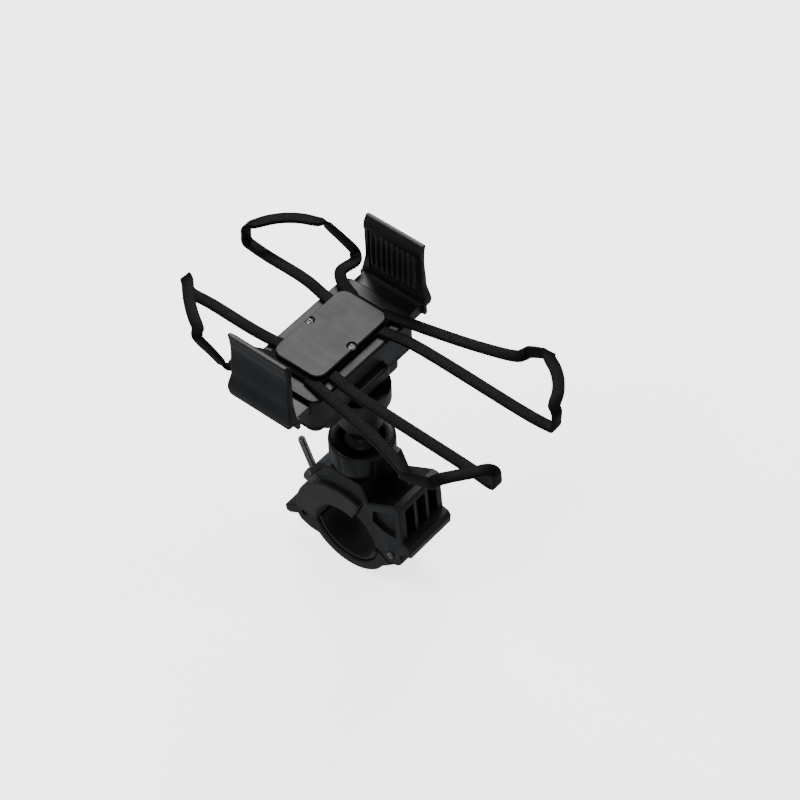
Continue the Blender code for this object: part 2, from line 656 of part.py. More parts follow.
def jaw(side):
    """Jaw wall with its top lip, pad recess, tongue and rack."""
    wall = [(38.0, 84.0), (37.1, 90.0), (36.8, 96.0), (36.15, 104.0), (36.5, 108.0), (36.9, 110.4), (36.5, JAW_TOP),
            (35.3, JAW_TOP), (33.6, 108.4), (33.5, JAW_TOP - LIP), (33.8, JAW_TOP - LIP - 0.6), (34.0, 96.0),
            (34.0, 85.6), (33.4, RACK_HI), (20.0, RACK_HI), (20.0, RACK_LO), (36.0, RACK_LO), (37.4, 80.4), (38.0, 82.0)]
    profile = [(side * x, z) for x, z in wall]
    body = prism("jaw", profile, "y", -3.0, 28.5)
    face = rounded([(-2.6, 70.0, 0.0), (27.0, 70.0, 0.0), (27.0, 82.0, 5.0), (25.3, 92.0, 12.0),
                    (25.2, JAW_TOP + 0.6, 1.2), (-1.0, JAW_TOP + 0.6, 1.2), (-1.1, 92.0, 12.0), (-2.6, 82.0, 5.0)], 3)
    keep_common(body, prism("face", face, "x", -60.0, 60.0))
    low, high = sorted((side * 15.0, side * 33.2))
    trims = [box("trim", (low, -10.0, 70.0), (high, -1.2, RACK_HI + 0.05)),
             box("trim", (low, 25.2, 70.0), (high, 40.0, RACK_HI + 0.05))]
    low, high = sorted((side * 15.0, side * 25.6))
    lane = BODY_YC + side * RACK_BACK
    lane_a, lane_b = sorted((lane - side * 2.5, lane + side * 20.0))
    trims.append(box("lane", (low, lane_a, 70.0), (high, lane_b, RACK_HI + 0.05)))
    low, high = sorted((side * 30.0, side * POCKET_X))
    trims.append(box("pocket", (low, PAD_Y0 - GAP, PAD_LO - GAP), (high, PAD_Y1 + GAP, PAD_HI + GAP)))
    cut(body, *trims)
    bar = prism("bar", rack(side), "z", RACK_LO, RACK_HI)
    join(body, bar)
    return finished(body, "right_jaw" if side > 0 else "left_jaw", "black_plastic", (0, BODY_YC, 0))


RIBS = 9
RIB_STEP = 2.4
RIB_HALF = 0.7


def jaw_pad(side):
    """Rubber pad with upright ribs that swell towards the phone."""
    back, face = POCKET_X - GAP, 34.1
    low, high = sorted((side * back, side * face))
    base = box("base", (low, PAD_Y0, PAD_LO), (high, PAD_Y1, PAD_HI))
    middle = (PAD_LO + PAD_HI) / 2
    swell = [(face + 0.2, PAD_LO + 0.6), (33.75, PAD_LO + 2.2), (33.5, PAD_LO + 5.6), (33.4, middle),
             (33.5, PAD_HI - 5.6), (33.7, PAD_HI - 2.2), (face + 0.2, PAD_HI - 0.6)]
    ribs = []
    for i in range(RIBS):
        centre = (PAD_Y0 + PAD_Y1) / 2 + (i - (RIBS - 1) / 2) * RIB_STEP
        ribs.append(prism("rib", [(side * x, z) for x, z in swell], "y", centre - RIB_HALF, centre + RIB_HALF))
    join(base, *ribs)
    return finished(base, "right_pad" if side > 0 else "left_pad", "black_rubber", (0, BODY_YC, 0))


RATCHET_TEETH = 16
RATCHET_R = 6.4


def drive_gear():
    """Pinion that ties the two racks together, with a ratchet wheel below it."""
    pitch_angle = 360.0 / GEAR_TEETH
    outline = []
    root_r, tip_r = GEAR_R - 1.2, GEAR_R + 0.85
    for k in range(GEAR_TEETH):
        centre = pitch_angle * k + 90.0
        for radius, offset in ((root_r, -10.2), (GEAR_R, -7.1), (tip_r, -3.6), (tip_r, 3.6), (GEAR_R, 7.1), (root_r, 10.2)):
            outline.append(polar(radius, centre + offset))
    outline = [(x, BODY_YC + y) for x, y in outline]
    gear = prism("gear", outline, "z", RACK_LO + 0.1, RACK_HI - 0.1)
    wheel = []
    for k in range(RATCHET_TEETH):
        wheel.append(polar(RATCHET_R, 360.0 * (k + 0.5) / RATCHET_TEETH))
        wheel.append(polar(RATCHET_R - 1.0, 360.0 * (k + 1.0) / RATCHET_TEETH))
    wheel = [(x, BODY_YC + y) for x, y in wheel]
    join(gear, prism("wheel", wheel, "z", 74.2, 77.0), rod("hub", 4.3, 6.4, at(0, BODY_YC, 74.2), 24))
    cut(gear, rod("bore", PIN_R + 0.06, 30.0, at(0, BODY_YC, 60.0), 20))
    return finished(gear, "drive_gear", "acetal", (0, BODY_YC, 0))


def gear_pin():
    """Steel pin for the drive gear, fixed in the back cover."""
    pin = rod("pin", PIN_R, 16.9, at(0, BODY_YC, 67.7), 20, 0.2)
    return finished(pin, "gear_pin", "bright_steel", (0, 0, BALL_Z))


FRAME_LO, FRAME_HI = 74.3, 76.8


def release_button():
    """Push button with the frame that carries the ratchet's pawl."""
    cap_outline = rounded([(-8.5, -7.6, 1.6), (8.5, -7.6, 1.6), (8.5, -1.0, 0.0), (-8.5, -1.0, 0.0)], 4)
    cap = prism("cap", cap_outline, "z", 73.0, 78.2, 0.6)
    stem = box("stem", (-6.0, -1.4, FRAME_LO), (6.0, 1.5, FRAME_HI))
    frame = box("frame", (-10.0, 1.2, FRAME_LO), (10.0, 22.6, FRAME_HI))
    window = box("window", (-7.2, 2.9, FRAME_LO - 1.0), (7.2, 20.4, FRAME_HI + 1.0))
    tip = BODY_YC + RATCHET_R + GAP
    pawl = prism("pawl", [(-1.6, 20.8), (1.6, 20.8), (0.5, tip), (-0.5, tip)], "z", FRAME_LO, FRAME_HI)
    cut(frame, window)
    join(frame, pawl, stem, cap)
    return finished(frame, "release_button", "black_plastic", (0, 0, BALL_Z))


def coil(name, radius, wire, length, turns, place, sides=6, per_turn=12):
    """Compression spring from its placement's origin along local +Z."""
    data = bmesh.new()
    rings = []
    steps = turns * per_turn
    for i in range(steps + 1):
        angle = 2 * math.pi * i / per_turn
        height = wire + (length - 2 * wire) * i / steps
        centre = Vector((radius * math.cos(angle), radius * math.sin(angle), height))
        outward = Vector((math.cos(angle), math.sin(angle), 0.0))
        ring = []
        for k in range(sides):
            turn = 2 * math.pi * k / sides
            offset = outward * math.cos(turn) * wire + Vector((0, 0, 1)) * math.sin(turn) * wire
            ring.append(data.verts.new((centre + offset) * MM))
        rings.append(ring)
    for first, second in zip(rings, rings[1:]):
        for k in range(sides):
            n = (k + 1) % sides
            data.faces.new((first[k], first[n], second[n], second[k]))
    data.faces.new(rings[0])
    data.faces.new(list(reversed(rings[-1])))
    obj = to_object(name, data)
    obj.data.transform(place)
    return obj


def button_spring():
    """Return spring between the button's frame and the housing's front wall."""
    spring = coil("spring", 1.1, 0.22, 2.7, 4, along_y(0.0, 75.55, 22.8), 5, 10)
    return finished(spring, "button_spring", "bright_steel", (0, 0, BALL_Z))


SPRING_LEN = 11.2


def jaw_spring(side):
    """Spring that pushes a jaw outwards when the ratchet lets go."""
    start = SPRING_FROM if side > 0 else -SPRING_FROM - SPRING_LEN
    spring = coil("spring", 1.5, 0.25, SPRING_LEN, 8, along_x(BODY_YC + side * SPRING_Y, 81.75, start), 5, 10)
    return finished(spring, "right_spring" if side > 0 else "left_spring", "bright_steel", (0, 0, BALL_Z))


# ---------------------------------------------------------------- silicone band
EDGE_X = PHONE_W / 2
EDGE_Y1 = PHONE_Y + PHONE_L / 2
EDGE_Y0 = PHONE_Y - PHONE_L / 2
LOOPS = {
    "front_right": ((1, 1), 15.0, 43.0, 29.5, 2.6),
    "front_left": ((-1, 1), -15.6, 42.0, 30.5, 1.0),
    "rear_left": ((-1, -1), -17.6, -61.6, -49.5, 0.0),
    "rear_right": ((1, -1), 14.0, -56.5, -46.5, 2.4),
}


def strip(name, path, width, thickness):
    """Flat strap along a path of (point, up) pairs, up being the strap's outer side."""
    data = bmesh.new()
    rings = []
    for i, (point, up) in enumerate(path):
        here = Vector(point)
        before = Vector(path[max(i - 1, 0)][0])
        after = Vector(path[min(i + 1, len(path) - 1)][0])
        forward = (after - before).normalized()
        normal = Vector(up).normalized()
        side = forward.cross(normal).normalized()
        normal = side.cross(forward).normalized()
        ring = []
        for a, b in ((-1, 0), (1, 0), (1, 1), (-1, 1)):
            ring.append(data.verts.new((here + side * a * width / 2 + normal * b * thickness) * MM))
        rings.append(ring)
    for first, second in zip(rings, rings[1:]):
        for k in range(4):
            n = (k + 1) % 4
            data.faces.new((first[k], first[n], second[n], second[k]))
    data.faces.new(rings[0])
    data.faces.new(list(reversed(rings[-1])))
    return to_object(name, data)


def band_loop(name, corner, top_x, side_y, leg_y, bow):
    """One corner strap as a closed loop that starts and ends in the web."""
    sx, sy = corner
    end_y = EDGE_Y1 if sy > 0 else EDGE_Y0
    off = 0.15
    face = PHONE_FACE + off
    under = PHONE_BACK - off
    mid = (PHONE_BACK + PHONE_FACE) / 2
    out_y = end_y + sy * off
    out_x = sx * (EDGE_X + off)
    start = Vector((top_x + sx * 1.6, end_y - sy * 1.2, face))
    end = Vector((out_x - sx * 1.3, side_y + sy * 1.6, face))
    outward = (end - start).cross(Vector((0, 0, -sx * sy))).normalized()
    across = [start.lerp(end, t) + outward * bow * 4 * t * (1 - t) for t in (0.25, 0.5, 0.75)]
    root_a = (sx * 12.5, BODY_YC + sy * 8.5, WEB_HI)
    root_b = (sx * 19.5, BODY_YC + sy * 6.5, WEB_HI)
    path = [
        (root_a, (0, 0, -1)),
        ((sx * 14.0, BODY_YC + sy * 18.0, 87.6), (0, 0, -1)),
        ((top_x - sx * 0.5, end_y - sy * 8.0, under), (0, 0, -1)),
        ((top_x, end_y - sy * 1.2, under), (0, sy * 0.25, -1)),
        ((top_x, out_y, under + 1.0), (0, sy, -0.4)),
        ((top_x + sx * 0.3, out_y, mid), (0, sy, 0)),
        ((top_x + sx * 0.6, out_y, face - 1.0), (0, sy, 0.4)),
        (start, (0, sy * 0.25, 1)),
        *((place, (0, 0, 1)) for place in across),
        (end, (sx * 0.25, 0, 1)),
        ((out_x, side_y + sy * 0.2, face - 1.0), (sx, 0, 0.4)),
        ((out_x, side_y * 0.55 + leg_y * 0.45, mid), (sx, 0, 0)),
        ((out_x, leg_y + sy * 0.6, under + 1.0), (sx, 0, -0.4)),
        ((out_x - sx * 1.4, leg_y - sy * 1.0, under), (sx * 0.25, 0, -1)),
    ]
    if sy > 0:
        bends = [(sx * 25.0, leg_y - 0.7, 88.8), (sx * 21.6, leg_y - 4.5, 88.2)]
    else:
        bends = [(sx * 27.0, BODY_YC + (leg_y - BODY_YC) * 0.72, 88.6)]
    path += [(place, (0, 0, -1)) for place in bends + [root_b]]
    return strip(name, path, STRAP_W, STRAP_T)


def silicone_band():
    """One moulding: a web under the front plate and a loop over each phone corner."""
    outline = [(-21.0, 0.2, 4.0), (21.0, 0.2, 4.0), (21.0, 23.8, 4.0), (-21.0, 23.8, 4.0)]
    web = prism("web", rounded(outline, 4), "z", WEB_LO, WEB_HI)
    for name, route in LOOPS.items():
        join(web, band_loop(name, *route))
    holes = [rod("hole", 1.15, 4.0, at(x, y, WEB_LO - 1.0), 12) for x, y in PLATE_SCREWS]
    cut(web, *holes)
    return finished(web, "silicone_band", "black_silicone", (0, 0, BALL_Z))


# ---------------------------------------------------------------- assembly
def build():
    """Make every piece in its place."""
    for old in list(bpy.data.objects):
        bpy.data.objects.remove(old)
    clamp_upper()
    shim_upper()
    clamp_lower()
    shim_lower()
    hinge_pin()
    swing_bolt()
    bolt_pivot_pin()
    bolt_washer()
    tension_nut()
    ring_nut()
    ball_seat()
    ball_stud()
    stud_screw()
    cradle_housing()
    back_cover()
    for index, (x, y) in enumerate(POSTS, 1):
        cover_screw(index, x, y)
    front_plate()
    for index, (x, y) in enumerate(PLATE_SCREWS, 1):
        plate_screw(index, x, y)
    for side in (-1, 1):
        jaw(side)
        jaw_pad(side)
        jaw_spring(side)
    drive_gear()
    gear_pin()
    release_button()
    button_spring()
    silicone_band()


build()
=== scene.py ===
import math

import bmesh
import bpy
from mathutils import Matrix, Vector


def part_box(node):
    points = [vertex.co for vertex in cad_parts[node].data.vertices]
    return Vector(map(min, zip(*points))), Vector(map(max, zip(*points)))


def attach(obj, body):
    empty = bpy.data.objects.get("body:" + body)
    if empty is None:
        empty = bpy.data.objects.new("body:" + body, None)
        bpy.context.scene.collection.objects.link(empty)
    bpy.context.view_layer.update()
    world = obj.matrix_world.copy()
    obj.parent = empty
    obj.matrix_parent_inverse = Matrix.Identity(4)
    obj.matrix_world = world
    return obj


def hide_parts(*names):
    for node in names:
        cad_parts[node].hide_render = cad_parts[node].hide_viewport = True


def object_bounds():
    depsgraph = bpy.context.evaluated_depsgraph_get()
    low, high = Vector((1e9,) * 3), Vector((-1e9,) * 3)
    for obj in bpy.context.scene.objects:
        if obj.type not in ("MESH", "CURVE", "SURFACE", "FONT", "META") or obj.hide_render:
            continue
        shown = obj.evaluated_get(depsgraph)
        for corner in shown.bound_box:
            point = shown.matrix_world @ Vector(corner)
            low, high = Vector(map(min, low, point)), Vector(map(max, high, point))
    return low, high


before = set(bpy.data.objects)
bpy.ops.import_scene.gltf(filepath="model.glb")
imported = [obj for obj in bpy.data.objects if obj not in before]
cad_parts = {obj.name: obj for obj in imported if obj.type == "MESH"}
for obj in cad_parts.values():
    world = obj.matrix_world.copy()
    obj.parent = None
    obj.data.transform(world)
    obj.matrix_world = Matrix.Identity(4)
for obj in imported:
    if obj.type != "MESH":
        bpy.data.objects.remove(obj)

# The looks of the bicycle phone mount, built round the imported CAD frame.
# The frame's origin is on the handlebar's axis; lengths below are millimetres.
MM = 0.001
CAD_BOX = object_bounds()

# ---------------------------------------------------------------- places read from the frame
BALL_Z = 37.5
PHONE_W, PHONE_L = 67.1, 138.3
PHONE_Y = -5.5
PHONE_BACK, PHONE_FACE = 89.1, 96.2
EDGE_X = PHONE_W / 2
EDGE_Y1 = PHONE_Y + PHONE_L / 2
EDGE_Y0 = PHONE_Y - PHONE_L / 2
BOLT_LEAN = 22.0
WASHER_AT, NUT_AT = 8.1, 8.8


def corners(node):
    """Lowest and highest corner of a CAD node, in millimetres."""
    low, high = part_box(node)
    return low / MM, high / MM


def bolt_pivot():
    """Middle of the pin that the swing bolt turns on."""
    low, high = corners("bolt_pivot_pin")
    return Vector((0.0, (low.y + high.y) / 2, (low.z + high.z) / 2)) * MM


# ---------------------------------------------------------------- materials
def shader_tree(name):
    """New node material with its Principled shader and object coordinates."""
    material = bpy.data.materials.new(name)
    material.use_nodes = True
    tree = material.node_tree
    shader = tree.nodes["Principled BSDF"]
    coords = tree.nodes.new("ShaderNodeTexCoord")
    return material, tree, shader, coords.outputs["Object"]


def noise(tree, coords, scale, detail=4.0, rough=0.55, stretch=None):
    """Noise factor at a scale given in cycles per metre."""
    node = tree.nodes.new("ShaderNodeTexNoise")
    node.inputs["Scale"].default_value = scale
    node.inputs["Detail"].default_value = detail
    node.inputs["Roughness"].default_value = rough
    source = coords
    if stretch is not None:
        mapping = tree.nodes.new("ShaderNodeMapping")
        mapping.inputs["Scale"].default_value = stretch
        tree.links.new(coords, mapping.inputs["Vector"])
        source = mapping.outputs["Vector"]
    tree.links.new(source, node.inputs["Vector"])
    return node.outputs["Fac"]


def ramp(tree, factor, stops):
    """Colour ramp from (position, colour) stops."""
    node = tree.nodes.new("ShaderNodeValToRGB")
    while len(node.color_ramp.elements) < len(stops):
        node.color_ramp.elements.new(0.5)
    for element, (position, colour) in zip(node.color_ramp.elements, stops):
        element.position = position
        element.color = (*colour, 1.0)
    tree.links.new(factor, node.inputs["Fac"])
    return node.outputs["Color"]


def remap(tree, factor, low, high, start=0.3, end=0.7):
    """Noise factor spread over a range of values."""
    node = tree.nodes.new("ShaderNodeMapRange")
    node.inputs["From Min"].default_value = start
    node.inputs["From Max"].default_value = end
    node.inputs["To Min"].default_value = low
    node.inputs["To Max"].default_value = high
    tree.links.new(factor, node.inputs["Value"])
    return node.outputs["Result"]


def bump(tree, shader, height, strength, distance):
    """Let a noise's height tilt the surface's normal."""
    node = tree.nodes.new("ShaderNodeBump")
    node.inputs["Strength"].default_value = strength
    node.inputs["Distance"].default_value = distance
    tree.links.new(height, node.inputs["Height"])
    tree.links.new(node.outputs["Normal"], shader.inputs["Normal"])


def grey(value, tint=0.0):
    """Neutral colour, a little cooler for a positive tint."""
    return (value * (1.0 - tint), value, value * (1.0 + tint))


def rubbed_and_highlit_edges(tree, colour, edge_colour, start, end):
    """Mix in a lighter colour where the surface's edges stand out: partly rubbed wear, partly a painted
    highlight.
    """
    geometry = tree.nodes.new("ShaderNodeNewGeometry")
    mask = remap(tree, geometry.outputs["Pointiness"], 0.0, 1.0, start, end)
    mix = tree.nodes.new("ShaderNodeMix")
    mix.data_type = "RGBA"
    tree.links.new(mask, mix.inputs["Factor"])
    tree.links.new(colour, mix.inputs["A"])
    mix.inputs["B"].default_value = (*edge_colour, 1.0)
    return mix.outputs["Result"]


def plastic(name, low, high, rough_low, rough_high, grain=2600.0, depth=0.00003):
    """Moulded nylon: fine spark-eroded grain, cloudy gloss and faintly rubbed edges, lightened also as a
    painted highlight.
    """
    material, tree, shader, coords = shader_tree(name)
    cloud = noise(tree, coords, 90.0, 5.0)
    speck = noise(tree, coords, grain, 3.0, 0.6)
    scuff = noise(tree, coords, 500.0, 6.0, 0.65, (1.0, 0.12, 0.5))
    colour = ramp(tree, cloud, [(0.3, grey(low, 0.02)), (0.7, grey(high, 0.03))])
    # lighter edges: partly rubbed wear, partly a painted edge highlight
    colour = rubbed_and_highlit_edges(tree, colour, grey(high * 2.6, 0.02), 0.53, 0.66)
    tree.links.new(colour, shader.inputs["Base Color"])
    mixed = tree.nodes.new("ShaderNodeMath")
    mixed.operation = "MULTIPLY_ADD"
    tree.links.new(cloud, mixed.inputs[0])
    mixed.inputs[1].default_value = 0.5
    tree.links.new(remap(tree, scuff, 0.2, 0.3), mixed.inputs[2])
    roughness = remap(tree, mixed.outputs["Value"], rough_low, rough_high, 0.25, 0.75)
    tree.links.new(roughness, shader.inputs["Roughness"])
    shader.inputs["Specular IOR Level"].default_value = 0.2
    bump(tree, shader, speck, 0.55, depth)
    return material


def rubber(name, low, high, rough, grain, depth, sheen, gloss):
    """Moulded rubber: matte, slightly mottled and dusty."""
    material, tree, shader, coords = shader_tree(name)
    cloud = noise(tree, coords, 160.0, 6.0, 0.6)
    speck = noise(tree, coords, grain, 4.0, 0.7)
    dust = noise(tree, coords, 1500.0, 2.0, 0.5)
    colour = ramp(tree, cloud, [(0.28, grey(low)), (0.6, grey((low + high) / 2)), (0.8, grey(high, 0.01))])
    tree.links.new(colour, shader.inputs["Base Color"])
    tree.links.new(remap(tree, dust, rough - 0.08, rough + 0.1), shader.inputs["Roughness"])
    shader.inputs["Specular IOR Level"].default_value = gloss
    shader.inputs["Sheen Weight"].default_value = sheen
    shader.inputs["Sheen Roughness"].default_value = 0.5
    bump(tree, shader, speck, 0.5, depth)
    return material


def steel(name, low, high, rough_low, rough_high):
    """Machined steel: fine turning marks round the axis and blotchy finish."""
    material, tree, shader, coords = shader_tree(name)
    cloud = noise(tree, coords, 400.0, 5.0, 0.6)
    lines = noise(tree, coords, 1400.0, 3.0, 0.5, (0.15, 0.15, 3.0))
    colour = ramp(tree, cloud, [(0.3, grey(low, -0.02)), (0.72, grey(high, -0.03))])
    # lighter edges: partly rubbed wear, partly a painted edge highlight on the steel
    colour = rubbed_and_highlit_edges(tree, colour, grey(min(high * 2.2, 0.7)), 0.52, 0.62)
    tree.links.new(colour, shader.inputs["Base Color"])
    tree.links.new(remap(tree, lines, rough_low, rough_high), shader.inputs["Roughness"])
    shader.inputs["Metallic"].default_value = 1.0
    bump(tree, shader, lines, 0.3, 0.00001)
    return material


PLASTIC = plastic("moulded_black", 0.0015, 0.0032, 0.30, 0.48)
PLASTIC_SMOOTH = plastic("moulded_satin", 0.0014, 0.0030, 0.26, 0.40, 3600.0, 0.000012)
RUBBER = rubber("black_rubber", 0.0020, 0.0044, 0.42, 2200.0, 0.00002, 0.02, 0.35)
SHIM = rubber("grey_rubber", 0.0035, 0.007, 0.62, 1700.0, 0.00003, 0.03, 0.1)
SILICONE = rubber("black_silicone", 0.0012, 0.0026, 0.46, 3000.0, 0.000004, 0.01, 0.035)
BLACK_STEEL = steel("black_oxide", 0.05, 0.11, 0.26, 0.44)
STEEL = steel("bright_steel", 0.45, 0.62, 0.18, 0.34)
ACETAL = plastic("acetal", 0.52, 0.62, 0.28, 0.42, 1800.0, 0.00001)


# ---------------------------------------------------------------- mesh helpers
def in_scene(name, data):
    """New object that holds the given mesh, camera or light."""
    obj = bpy.data.objects.new(name, data)
    bpy.context.scene.collection.objects.link(obj)
    return obj


def to_object(name, data, place=None):
    """Put a bmesh, built in millimetres, in the scene."""
    bmesh.ops.recalc_face_normals(data, faces=data.faces)
    bmesh.ops.scale(data, vec=(MM, MM, MM), verts=data.verts)
    mesh = bpy.data.meshes.new(name)
    data.to_mesh(mesh)
    data.free()
    if place is not None:
        mesh.transform(place)
    return in_scene(name, mesh)


def shade(obj, degrees):
    """Smooth shading that keeps real corners."""
    obj.data.shade_smooth()
    obj.data.set_sharp_from_angle(angle=math.radians(degrees))


def publish(obj, body, slot, material, *nodes):
    """Give a piece its material and body, and let it stand for CAD nodes; slot is not used."""
    obj.data.materials.clear()
    obj.data.materials.append(material)
    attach(obj, body)
    if nodes:
        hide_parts(*nodes)
    return obj


def bevelled(obj, width, degrees=32.0):
    """Round an object's real edges, so that they catch the light."""
    modifier = obj.modifiers.new("edges", "BEVEL")
    modifier.width = width * MM
    modifier.segments = 2
    modifier.limit_method = "ANGLE"
    modifier.angle_limit = math.radians(degrees)
    smooth = obj.modifiers.new("normals", "WEIGHTED_NORMAL")
    smooth.keep_sharp = True
    smooth.weight = 80
    return obj


def refined(name, node, width):
    """Copy of a CAD node's mesh with its edges rounded."""
    data = bmesh.new()
    data.from_mesh(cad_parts[node].data)
    bmesh.ops.remove_doubles(data, verts=data.verts, dist=0.003 * MM)
    bmesh.ops.dissolve_limit(data, angle_limit=math.radians(1.0), verts=data.verts, edges=data.edges)
    mesh = bpy.data.meshes.new(name)
    data.to_mesh(mesh)
    data.free()
    obj = in_scene(name, mesh)
    bevelled(obj, width)
    obj.data.shade_smooth()
    return obj


def combine(target, tools, operation):
    """Boolean of each tool with target, applied."""
    for tool in tools:
        modifier = target.modifiers.new("cut", "BOOLEAN")
        modifier.operation = operation
        modifier.solver = "EXACT"
        modifier.object = tool
    graph = bpy.context.evaluated_depsgraph_get()
    target.data = bpy.data.meshes.new_from_object(target.evaluated_get(graph))
    target.modifiers.clear()
    for tool in tools:
        bpy.data.objects.remove(tool)
    return target


def turned(name, profile, segments, place=None, ring=False):
    """Turn a (radius, height) profile about local Z."""
    data = bmesh.new()
    poles = {}
    grid = []
    for i in range(segments):
        angle = 2 * math.pi * i / segments
        line = []
        for k, (radius, height) in enumerate(profile):
            if radius == 0.0:
                if k not in poles:
                    poles[k] = data.verts.new((0.0, 0.0, height))
                line.append(poles[k])
            else:
                line.append(data.verts.new((radius * math.cos(angle), radius * math.sin(angle), height)))
        grid.append(line)
    last = len(profile) if ring else len(profile) - 1
    for i in range(segments):
        here, there = grid[i], grid[(i + 1) % segments]
        for k in range(last):
            n = (k + 1) % len(profile)
            face = []
            for vertex in (here[k], there[k], there[n], here[n]):
                if vertex not in face:
                    face.append(vertex)
            if len(face) > 2:
                data.faces.new(face)
    return to_object(name, data, place)


def box(name, low, high):
    """Plain block, used only as a cutter."""
    data = bmesh.new()
    made = bmesh.ops.create_cube(data, size=1.0)
    size = [b - a for a, b in zip(low, high)]
    middle = [(a + b) / 2 for a, b in zip(low, high)]
    bmesh.ops.scale(data, vec=size, verts=made["verts"])
    bmesh.ops.translate(data, vec=middle, verts=made["verts"])
    return to_object(name, data)


def skin(data, rings):
    """Add a closed skin over a list of rings with equal point counts to a bmesh."""
    rows = [[data.verts.new(point) for point in ring] for ring in rings]
    count = len(rows[0])
    for first, second in zip(rows, rows[1:]):
        for k in range(count):
            n = (k + 1) % count
            data.faces.new((first[k], first[n], second[n], second[k]))
    data.faces.new(rows[0])
    data.faces.new(list(reversed(rows[-1])))


def wheel(data, rows):
    """Add the faces between rows of vertices that go once round an axis."""
    count = len(rows[0])
    for i, first in enumerate(rows):
        second = rows[(i + 1) % len(rows)]
        for k in range(count):
            n = (k + 1) % count
            data.faces.new((first[k], second[k], second[n], first[n]))


def round_rect(half_a, half_b, radius, steps):
    """Rounded rectangle round the origin, as (a, b) points."""
    points = []
    for sa, sb, start in ((1, 1, 0), (-1, 1, 90), (-1, -1, 180), (1, -1, 270)):
        for i in range(steps + 1):
            angle = math.radians(start + 90.0 * i / steps)
            points.append((sa * (half_a - radius) + radius * math.cos(angle),
                           sb * (half_b - radius) + radius * math.sin(angle)))
    return points


def spline(points, samples):
    """Points of a centripetal curve through the given vectors, equally sampled per span."""
    vectors = [Vector(p) for p in points]
    ends = [vectors[0] * 2 - vectors[1]] + vectors + [vectors[-1] * 2 - vectors[-2]]
    result = []
    for i in range(1, len(ends) - 2):
        p0, p1, p2, p3 = ends[i - 1:i + 3]
        knots = [0.0]
        for a, b in ((p0, p1), (p1, p2), (p2, p3)):
            knots.append(knots[-1] + max((b - a).length, 1e-6) ** 0.5)
        for s in range(samples):
            t = knots[1] + (knots[2] - knots[1]) * s / samples
            a1 = p0.lerp(p1, (t - knots[0]) / (knots[1] - knots[0]))
            a2 = p1.lerp(p2, (t - knots[1]) / (knots[2] - knots[1]))
            a3 = p2.lerp(p3, (t - knots[2]) / (knots[3] - knots[2]))
            b1 = a1.lerp(a2, (t - knots[0]) / (knots[2] - knots[0]))
            b2 = a2.lerp(a3, (t - knots[1]) / (knots[3] - knots[1]))
            result.append(b1.lerp(b2, (t - knots[1]) / (knots[2] - knots[1])))
    result.append(vectors[-1])
    return result


def between(table, value):
    """Smooth reading of a table of (key, number) pairs."""
    if value <= table[0][0]:
        return table[0][1]
    for (k0, v0), (k1, v1) in zip(table, table[1:]):
        if value <= k1:
            t = (value - k0) / (k1 - k0)
            return v0 + (v1 - v0) * t * t * (3 - 2 * t)
    return table[-1][1]


def moved(x=0.0, y=0.0, z=0.0):
    """Matrix of a shift in millimetres."""
    return Matrix.Translation(Vector((x, y, z)) * MM)


# ---------------------------------------------------------------- jaws
# Heights with the x of the wall's outer and inner faces there, and with the y of its two ends.
OUTER = [(79.5, 36.6), (81.6, 37.9), (84.0, 37.95), (92.0, 36.95),
         (103.6, 36.1), (107.6, 36.55), (110.6, 36.95), (111.0, 36.9)]
INNER = [(79.5, 33.4), (84.0, 33.5), (85.8, 34.0), (104.4, 34.0),
         (106.0, 33.45), (108.0, 33.5), (111.0, 35.3)]
Y_LOW = [(79.5, -2.4), (83.5, -2.4), (93.0, -1.1), (111.0, -1.0)]
Y_HIGH = [(79.5, 26.9), (83.5, 26.9), (93.0, 25.3), (111.0, 25.2)]
WALL_FROM, FOOT_TO, TOP = 79.4, 84.6, 111.0
FOOT_R = 5.0
EDGE_R = 0.5
PAD_FACE = 34.45
PAD_ROOM = 0.3
TONGUE_TOP = 84.02


def jaw_ring(side, z, shrink):
    """Section of the jaw's wall at height z, pulled in by shrink."""
    outer, inner = between(OUTER, z) - shrink, between(INNER, z) + shrink
    y0, y1 = between(Y_LOW, z) + shrink, between(Y_HIGH, z) - shrink
    rise = z - WALL_FROM + 0.1
    if rise < FOOT_R:
        pull = FOOT_R - math.sqrt(max(FOOT_R ** 2 - (FOOT_R - rise) ** 2, 0.0))
        y0, y1 = y0 + pull, y1 - pull
    half_x, half_y = (outer - inner) / 2, (y1 - y0) / 2
    centre_x, centre_y = (outer + inner) / 2, (y0 + y1) / 2
    radius = min(0.9, half_x * 0.6)
    ring = []
    for a, b in round_rect(half_x, half_y, radius, 4):
        ring.append((side * (centre_x + a), centre_y + b, z))
    return ring


